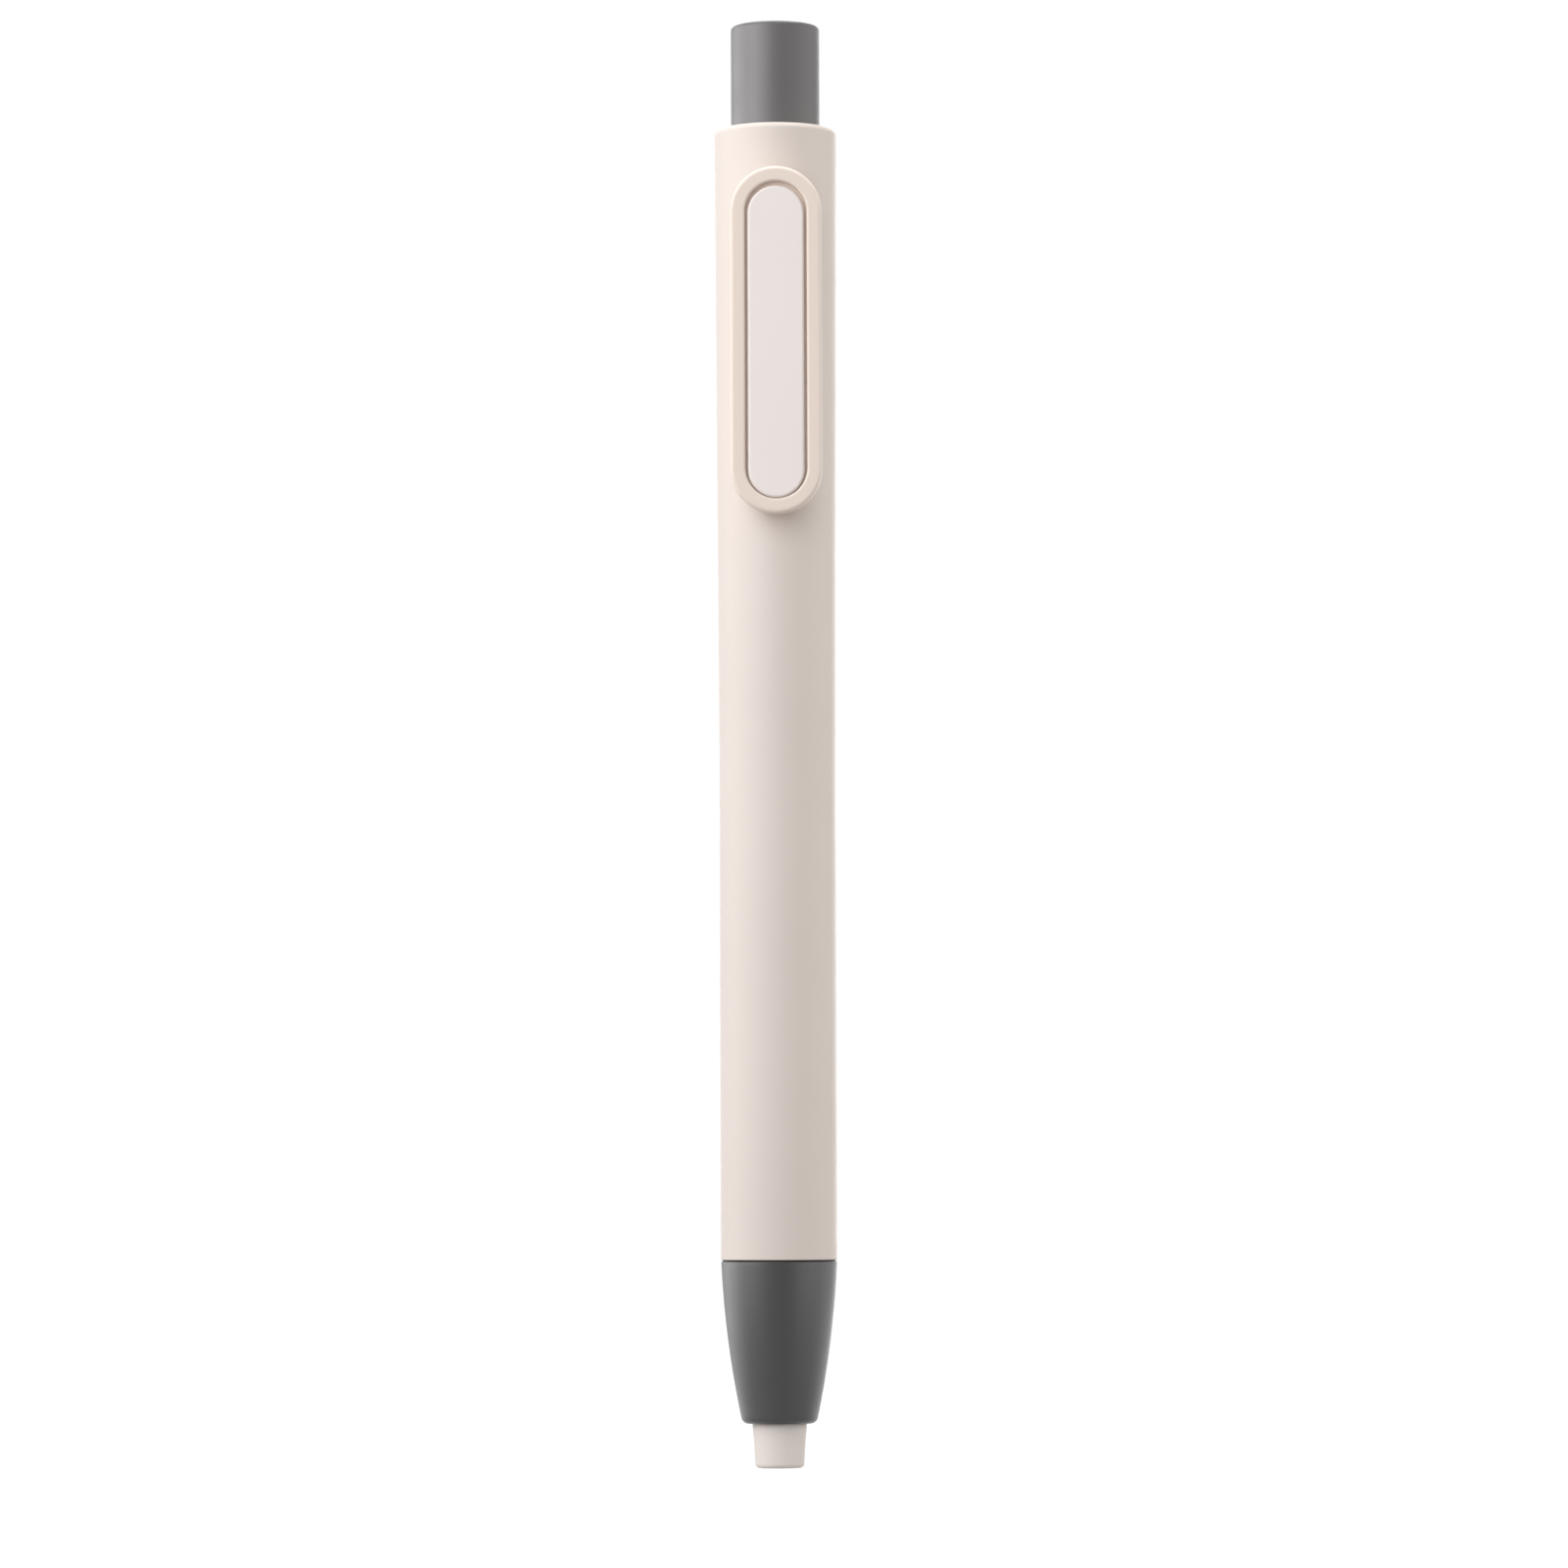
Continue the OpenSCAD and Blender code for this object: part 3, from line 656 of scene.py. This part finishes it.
chord = Vector((NOSE_TOP_R - NOSE_TIP_R, NOSE_TOP_Z - NOSE_Z))
depth = math.sqrt(NOSE_ARC_R ** 2 - (chord.length / 2) ** 2)
arc_x = (NOSE_TOP_R + NOSE_TIP_R) / 2 - depth * chord.y / chord.length
arc_z = (NOSE_TOP_Z + NOSE_Z) / 2 + depth * chord.x / chord.length
edge_z = NOSE_Z + NOSE_EDGE_R
edge_x = arc_x + math.sqrt((NOSE_ARC_R - NOSE_EDGE_R) ** 2 - (edge_z - arc_z) ** 2)
meet = math.atan2(edge_z - arc_z, edge_x - arc_x)
top = math.asin((NOSE_TOP_Z - arc_z) / NOSE_ARC_R)
nose_side = (on_arc(edge_x, edge_z, NOSE_EDGE_R, -math.pi / 2, meet, 10)[:-1]
             + on_arc(arc_x, arc_z, NOSE_ARC_R, meet, top, 48)[:-1])
print("nose arc centre", round(arc_x, 2), round(arc_z, 2))

# %% [markdown]
# Inside the nose there is a room for the jaws and a seat for the rubber ring, and a spigot goes up into the
# barrel. The spigot carries a coarse thread of round section, as moulded screws have. It is wound by the coil
# tree and joined on with the Boolean helper, because drawn in the outline it would be a row of rings.

# %% Nose cone's inside and thread
JOINT_Z, JOINT_BEVEL = 20.7, 0.2
SPIGOT_R, SPIGOT_Z = 4.75, 28.4
RING_ROOM_R, RING_STOP_Z = 4.3, 14.7
JAW_ROOM_R, JAW_ROOM_Z = 4.0, 11.0
SEAT_R, SEAT_Z, SEAT_TOP_Z = 3.4, 5.6, 8.0
HOLE_R = 2.9
THREAD_Z = 22.1

nose_rest = softened([
    (NOSE_TOP_R, NOSE_TOP_Z - 0.4), (NOSE_TOP_R, NOSE_TOP_Z, 0.06), (NOSE_TOP_R - JOINT_BEVEL, JOINT_Z),
    (SPIGOT_R, JOINT_Z), (SPIGOT_R, SPIGOT_Z, 0.15), (RING_ROOM_R, SPIGOT_Z), (RING_ROOM_R, RING_STOP_Z),
    (JAW_ROOM_R, RING_STOP_Z), (JAW_ROOM_R, JAW_ROOM_Z, 0.5), (SEAT_R, SEAT_TOP_Z), (SEAT_R, SEAT_Z),
    (HOLE_R, SEAT_Z), (HOLE_R, NOSE_Z, 0.15), (edge_x, NOSE_Z),
], closed=False)[1:]
nose_body = carried_round("nose_shell", nose_side + nose_rest, charcoal)
thread = coiled("nose_thread", THREAD_Z, charcoal, turns=6.0, radius=4.72, bar=0.56, rise=5.9, ease=0.0)
nose_mesh = combined(nose_body, thread, "UNION", charcoal)
nose = ready("nose_shell", nose_mesh, "barrel", "charcoal_plastic", "nose_cone")
grey_pieces.objects.link(nose)

# %% [markdown]
# ## Push button
# A straight cap with a small edge radius. It is hollow: the feed tube plugs into its lower end. A bevelled
# cylinder would look the same from outside, but the lathe gives the hollow and the socket as well.

# %% Push button
BUTTON_R, BUTTON_Z, TOP_Z = 4.475, 116.0, 145
HOLLOW_R, HOLLOW_TOP_Z = 3.1, 143.4
SOCKET_R, SOCKET_TOP_Z, SOCKET_LEAD_H = 3.7, 123.0, 0.6
MOUTH_BEVEL = 0.25

button_outline = softened([
    (0, HOLLOW_TOP_Z), (HOLLOW_R, HOLLOW_TOP_Z, 0.4), (HOLLOW_R, SOCKET_TOP_Z + SOCKET_LEAD_H),
    (SOCKET_R, SOCKET_TOP_Z), (SOCKET_R, BUTTON_Z), (BUTTON_R - MOUTH_BEVEL, BUTTON_Z),
    (BUTTON_R, BUTTON_Z + MOUTH_BEVEL), (BUTTON_R, TOP_Z, 0.35), (0, TOP_Z),
], closed=False)
cap_mesh = carried_round("button_cap", button_outline, grey)
cap = ready("button_cap", cap_mesh, "button", "charcoal_plastic", "push_button")
grey_pieces.objects.link(cap)

# %% [markdown]
# ## Prisms
# Small flat-sided details, such as ribs, a foot or a window, are a side view pushed out to a width, with
# their long edges softened. That is quicker than cutting them out of boxes.

# %% Prisms
def prism(name, side_view, width, soft_ends=0.0):
    """A block with a given outline in the YZ plane, as wide as asked for, in millimetres."""
    work = bmesh.new()
    left = [work.verts.new((-width / 2 * MM, y * MM, z * MM)) for y, z in side_view]
    face = work.faces.new(left)
    grown = bmesh.ops.extrude_face_region(work, geom=[face])["geom"]
    bmesh.ops.translate(work, verts=[g for g in grown if isinstance(g, bmesh.types.BMVert)],
                        vec=(width * MM, 0, 0))
    bmesh.ops.recalc_face_normals(work, faces=work.faces)
    if soft_ends:
        rims = {edge for end in work.faces if abs(end.normal.x) > 0.99 for edge in end.edges}
        bmesh.ops.bevel(work, geom=list(rims), offset=soft_ends * MM, segments=3, profile=0.5,
                        affect="EDGES", clamp_overlap=False)
    mesh = bpy.data.meshes.new(name)
    work.to_mesh(mesh)
    work.free()
    return mesh


def joined(*meshes):
    """One mesh that holds the shells of several."""
    work = bmesh.new()
    for mesh in meshes:
        work.from_mesh(mesh)
    work.to_mesh(meshes[0])
    work.free()
    return meshes[0]


# %% [markdown]
# ## Repeats round the axis
# The barrel has four guide ribs and the collet has four slots. Copies made by hand would do, but a small tree
# that sets one detail on a point and turns it by its share of the circle keeps all of them alike.

# %% Ring of copies
ring, given = new_tree("ring_of", count=("Int", 4), first=("Float", 0.0), finish=("Material", None))
spots = wire(ring, "GeometryNodePoints", {"Count": given["count"]})
index = wire(ring, "GeometryNodeInputIndex").outputs[0]
angle = maths(ring, "ADD", maths(ring, "DIVIDE", maths(ring, "MULTIPLY", index, math.tau), given["count"]),
              given["first"])
copies = wire(ring, "GeometryNodeInstanceOnPoints",
              {"Points": spots.outputs[0], "Instance": given["Geometry"],
               "Rotation": wire(ring, "ShaderNodeCombineXYZ", {"Z": angle}).outputs[0]})
close_tree(ring, copies.outputs[0], given["finish"])
print("ring tree:", len(ring.nodes), "nodes")

# %% [markdown]
# ## Barrel
# The lower half is straight, the upper half flares by a third of a millimetre in radius, and the rim has a
# generous radius. It is one outline on the lathe. Two extra rings close above and below the clip's window
# keep the cut's effect on the shading within a narrow band behind the clip.

# %% Barrel
BARREL_R, BARREL_TOP_R = 5.825, 6.15
FLARE_Z, RIM_Z = 70, 134.5
BORE_R = 4.65
COUNTERBORE_R, SHOULDER_Z = 5.05, 29.2
FLARE_BLEND_R = 60
FOOT_Z = 126.6
EXTRA_RINGS = (FOOT_Z - 2, FOOT_Z + 2)


def flare(z):
    """Outer radius of the barrel at a height above the straight half."""
    return BARREL_R + (BARREL_TOP_R - BARREL_R) * (z - FLARE_Z) / (RIM_Z - FLARE_Z)


barrel_outline = softened([
    (COUNTERBORE_R, JOINT_Z), (BARREL_R, JOINT_Z, 0.12), (BARREL_R, FLARE_Z, FLARE_BLEND_R),
    *[(flare(z), z) for z in EXTRA_RINGS],
    (BARREL_TOP_R, RIM_Z, 0.6), (BORE_R, RIM_Z, 0.15), (BORE_R, SHOULDER_Z), (COUNTERBORE_R, SHOULDER_Z),
])
tube = carried_round("barrel_tube", barrel_outline, ivory, steps=256)
print("barrel outline:", len(barrel_outline), "points")

# %% [markdown]
# Four ribs in the bore guide the feed tube, and a window in the wall lets the clip's foot in. The ribs are
# only laid against the wall, as nobody sees that seam. The window has to be a real hole, so it is cut.

# %% Ribs and window
RIB_IN_R, RIB_OUT_R, RIB_W = 4.1, 4.75, 0.8
RIB_Z, RIB_TOP_Z = 60, 108
rib_view = [(RIB_IN_R, RIB_Z), (RIB_OUT_R, RIB_Z), (RIB_OUT_R, RIB_TOP_Z), (RIB_IN_R, RIB_TOP_Z)]
rib = prism("guide_rib", rib_view, RIB_W, soft_ends=0.1)
ribs = run_tree("guide_ribs", rib, ring, count=4, first=math.radians(45), finish=ivory)

# The pocket inside is higher than the window, so that the foot's snap can catch behind the wall
WINDOW_W, WINDOW_HALF_H, POCKET_HALF_H = 4.2, 1.2, 1.75
POCKET_Y, OUTSIDE_Y = -5.5, -7
steps_out = [(0, POCKET_HALF_H), (POCKET_Y, POCKET_HALF_H), (POCKET_Y, WINDOW_HALF_H),
             (OUTSIDE_Y, WINDOW_HALF_H)]
window_view = ([(y, FOOT_Z - half_h) for y, half_h in steps_out]
               + [(y, FOOT_Z + half_h) for y, half_h in reversed(steps_out)])
window = prism("window", window_view, WINDOW_W)
barrel_mesh = tidied(joined(combined(tube, window, "DIFFERENCE", ivory), ribs), ivory)
ready("barrel_tube", barrel_mesh, "barrel", "barrel_plastic", "barrel")

# %% [markdown]
# ## Clip
# Seen from the front the clip is an oval with a raised, rounded band. It comes from the same lathe tree as
# the barrel, which keeps the band's section even all the way: the section is drawn as distance from the
# oval's middle line and depth, carried round the oval, and then stood up in front of the barrel.

# %% Clip frame
CLIP_W, CLIP_LEN, CLIP_Z = 9.17, 34.8, 112.2
BACK_Y, FRONT_Y, SEAT_Y = 7.15, 8.95, 8.1
BAND_W = 1.5
STRAIGHT = CLIP_LEN - CLIP_W


def stood_up(mesh):
    """Turns a shape that lies face up so that it faces forward, at the clip's height."""
    mesh.transform(Matrix.Translation((0, 0, CLIP_Z * MM)) @ Matrix.Rotation(math.pi / 2, 4, "X"))
    return mesh


half = CLIP_W / 2
band_section = softened([
    (0, BACK_Y), (half, BACK_Y, 0.3), (half, FRONT_Y, 0.4), (half - BAND_W, FRONT_Y, 0.25),
    (half - BAND_W, SEAT_Y, 0.08), (0, SEAT_Y),
], closed=False)
frame_mesh = stood_up(carried_round("clip_frame", band_section, beige, steps=160, straight=STRAIGHT))
print("clip frame:", len(frame_mesh.polygons), "faces")

# %% [markdown]
# On the clip's back, a foot goes through the barrel's window and snaps behind the wall, a short web stiffens
# its root, and a nub presses on the barrel. All are prisms. They end inside the frame, so no seam shows.

# %% Foot and nub
SINK_Y = 7.6
FOOT_TIP_Y, SNAP_Y, FOOT_W = 4.85, 5.3, 4
TIP_HALF_H, SNAP_HALF_H, NECK_HALF_H = 1.275, 1.55, 1
WEB_Y, WEB_DROP = 6.55, 5
ROOT_Y, ROOT_RISE = 6.75, 1.6
foot_view = softened([
    (-FOOT_TIP_Y, FOOT_Z - TIP_HALF_H), (-SNAP_Y, FOOT_Z - SNAP_HALF_H), (-SNAP_Y, FOOT_Z - NECK_HALF_H),
    (-WEB_Y, FOOT_Z - NECK_HALF_H, 0.5), (-BACK_Y, FOOT_Z - WEB_DROP, 4), (-SINK_Y, FOOT_Z - WEB_DROP - 0.1),
    (-SINK_Y, FOOT_Z + ROOT_RISE), (-BACK_Y, FOOT_Z + ROOT_RISE, 0.2), (-ROOT_Y, FOOT_Z + NECK_HALF_H, 0.5),
    (-SNAP_Y, FOOT_Z + NECK_HALF_H), (-SNAP_Y, FOOT_Z + SNAP_HALF_H), (-FOOT_TIP_Y, FOOT_Z + TIP_HALF_H),
])[:-1]
foot = prism("clip_foot", foot_view, FOOT_W, soft_ends=0.1)

NUB_Z, NUB_R, NUB_W, NUB_GAP = 97.6, 2.2, 5, 0.05
nub_y = flare(NUB_Z) + NUB_GAP + NUB_R
spread = math.acos((nub_y - SINK_Y) / NUB_R)
nub = prism("clip_nub", on_arc(-nub_y, NUB_Z, NUB_R, -spread, spread, 24), NUB_W, soft_ends=0.12)
clip_mesh = tidied(joined(frame_mesh, foot, nub), beige)
ready("clip_band", clip_mesh, "clip", "clip_plastic", "clip_frame")

# %% [markdown]
# The pale plate is a separate moulding that drops into the band's recess and leaves a fine groove all round.
# It could be a raised patch on the clip, but a piece of its own gives the groove its depth and its shadow.
# Play lets it sit a fifth of a millimetre low, so the groove is wider above it than below.

# %% Clip plate
PLATE_R, PLATE_Y = 2.805, 8.88
PLATE_BEVEL, PLATE_DROP = 0.18, 0.2

plate_section = softened([
    (0, SEAT_Y), (PLATE_R, SEAT_Y), (PLATE_R, PLATE_Y - PLATE_BEVEL, 0.06),
    (PLATE_R - PLATE_BEVEL, PLATE_Y, 0.12), (0, PLATE_Y),
], closed=False)
plate_mesh = stood_up(carried_round("plate", plate_section, pale, steps=160, straight=STRAIGHT))
plate_mesh.transform(Matrix.Translation((0, 0, -PLATE_DROP * MM)))
ready("clip_inlay_plate", plate_mesh, "clip", "plate_plastic", "clip_plate")

# %% [markdown]
# ## Return spring
# The spring lifts the button again. A stack of rings would look much like it, but the coil tree makes it one
# unbroken wire, as it is. It is the one piece that changes length as the button moves; the mesh made here has
# one length.

# %% Return spring
SPRING_R, WIRE_D = 4.25, 0.5
SPRING_LOW, SPRING_HIGH = SHOULDER_Z, 46.0

spring_mesh = coiled("coil_spring", SPRING_LOW + WIRE_D / 2, steel, turns=8.0, radius=SPRING_R, bar=WIRE_D,
                     rise=SPRING_HIGH - SPRING_LOW - WIRE_D)
spring = ready("coil_spring", spring_mesh, "barrel", "spring_steel", "return_spring")
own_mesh(spring)

# %% [markdown]
# ## Round pieces of the clutch
# The clutch in the nose grips the stick. Five of its pieces are round all the way, so each needs only an
# outline: the rubber ring, the brass ring that closes the jaws, the sleeve that stops it, the coupler with
# its rounded grooves, and the feed tube. Nobody sees them until the nose is unscrewed, but then their soft
# edges and finishes tell what they are made of.

# %% Round pieces of the clutch
GRIP_R, LIP_R = 3.03, 0.3
RING_Z, RING_TOP_Z, CONE_TOP_Z = 16.7, 19.7, 19.2
RING_R, RING_BORE_R, RING_MOUTH_R = 4.2, 3.42, 3.92
SLEEVE_Z, SLEEVE_R, FLANGE_R = 19.75, 4.28, 4.95
STEM_R, STEM_BORE_R, STEM_TOP_Z = 3.35, 2.95, 51.0
COUPLER_R, COUPLER_TOP_Z = 4.4, 56
GROOVE_R, GROOVE_HEIGHTS = 0.25, (48, 50, 52, 54)

lip_z = (SEAT_Z + SEAT_TOP_Z) / 2
grip_lip = [(x, z, 0) for x, z in on_arc(GRIP_R, lip_z, LIP_R, math.pi / 2, 1.5 * math.pi, 12)]
grooves = [(x, z, 0) for at in GROOVE_HEIGHTS
           for x, z in on_arc(COUPLER_R, at, GROOVE_R, -0.5 * math.pi, -1.5 * math.pi, 8)]
round_pieces = [
    ("grip_ring", "friction_ring", "barrel", "black_rubber", rubber,
     [(SEAT_R, SEAT_Z), (SEAT_R, SEAT_TOP_Z), (GRIP_R, SEAT_TOP_Z), *grip_lip, (GRIP_R, SEAT_Z)]),
    ("jaw_ring", "clutch_ring", "clutch_ring", "brass", brass,
     [(RING_MOUTH_R, RING_Z), (RING_R, RING_Z, 0.15), (RING_R, RING_TOP_Z, 0.25), (RING_BORE_R, RING_TOP_Z),
      (RING_BORE_R, CONE_TOP_Z)]),
    ("ring_sleeve", "spring_sleeve", "barrel", "natural_plastic", natural,
     [(RING_BORE_R, SLEEVE_Z), (SLEEVE_R, SLEEVE_Z, 0.25), (SLEEVE_R, SPIGOT_Z), (FLANGE_R, SPIGOT_Z),
      (FLANGE_R, SPRING_LOW), (RING_BORE_R, SPRING_LOW)]),
    ("stem_coupler", "tube_coupler", "button", "natural_plastic", natural,
     [(STEM_R, SPRING_HIGH), (COUPLER_R, SPRING_HIGH), *grooves, (COUPLER_R, COUPLER_TOP_Z, 0.25),
      (SOCKET_R, COUPLER_TOP_Z), (SOCKET_R, STEM_TOP_Z), (STEM_R, STEM_TOP_Z)]),
    ("stick_tube", "feed_tube", "button", "natural_plastic", natural,
     [(STEM_BORE_R, STEM_TOP_Z, 0.15), (SOCKET_R, STEM_TOP_Z), (SOCKET_R, SOCKET_TOP_Z, 0.25),
      (STEM_BORE_R, SOCKET_TOP_Z)]),
]
for name, node, body, slot, finish, corners in round_pieces:
    ready(name, carried_round(name, softened(corners), finish, steps=128), body, slot, node)

# %% [markdown]
# ## Collet
# Four sprung jaws with a conical head. The real one is turned or moulded in one piece and then slotted, and
# so is this one. The bore has saw-tooth grooves that bite on the stick, drawn as part of the outline.

# %% Collet
JAW_R, JAW_END_R, JAW_BORE_R = 3.85, 3.2, 2.73
JAW_Z, JAW_CONE_Z, JAW_CONE_TOP_Z, BITE_TOP_Z = 14.0, 16.9, 19.4, 19.0
JAW_LEAD_H, BITE_LEAD_H = 1.2, 0.25
TOOTH, TOOTH_HALF_H, TOOTH_HEIGHTS = 0.15, 0.25, (18, 17, 16, 15)

teeth = [(JAW_BORE_R + deep, z + step, 0) for z in TOOTH_HEIGHTS
         for deep, step in ((0, TOOTH_HALF_H), (TOOTH, TOOTH_HALF_H), (0, -TOOTH_HALF_H))]
collet_outline = softened([
    (JAW_BORE_R, JAW_Z), (JAW_END_R, JAW_Z), (JAW_R, JAW_Z + JAW_LEAD_H), (JAW_R, JAW_CONE_Z),
    (STEM_R, JAW_CONE_TOP_Z), (STEM_R, STEM_TOP_Z), (STEM_BORE_R, STEM_TOP_Z),
    (STEM_BORE_R, BITE_TOP_Z + BITE_LEAD_H), (JAW_BORE_R, BITE_TOP_Z), *teeth,
])
collet_body = carried_round("jaw_collet", collet_outline, natural, steps=128)
print("collet outline:", len(collet_outline), "points")

# %% [markdown]
# Each slot ends in a round hole, because a square end would crack there. So the cutter is a keyhole, repeated
# round the axis by the same small tree as the guide ribs, and all four slots are cut in one go.

# %% Slots
SLOT_W, SLOT_TOP_Z, SLOT_HOLE_R = 0.7, 36.0, 0.55
CUTTER_DEPTH, CUTTER_X, CUTTER_Z = 4, 3.2, JAW_Z - 0.5
neck = math.acos(SLOT_W / 2 / SLOT_HOLE_R)
keyhole_view = [(-SLOT_W / 2, CUTTER_Z), (SLOT_W / 2, CUTTER_Z),
                *on_arc(0, SLOT_TOP_Z, SLOT_HOLE_R, -neck, math.pi + neck, 24)]
keyhole = prism("keyhole", keyhole_view, CUTTER_DEPTH)
keyhole.transform(Matrix.Translation((CUTTER_X * MM, 0, 0)))
slots = run_tree("keyholes", keyhole, ring, count=4, first=0.0, finish=natural)
collet_mesh = combined(collet_body, slots, "DIFFERENCE", natural)
ready("jaw_collet", collet_mesh, "button", "natural_plastic", "collet")

# %% [markdown]
# ## Colour view
# The last step sets the colour view to Standard.

# %% Colour view
bpy.context.scene.view_settings.view_transform = "Standard"
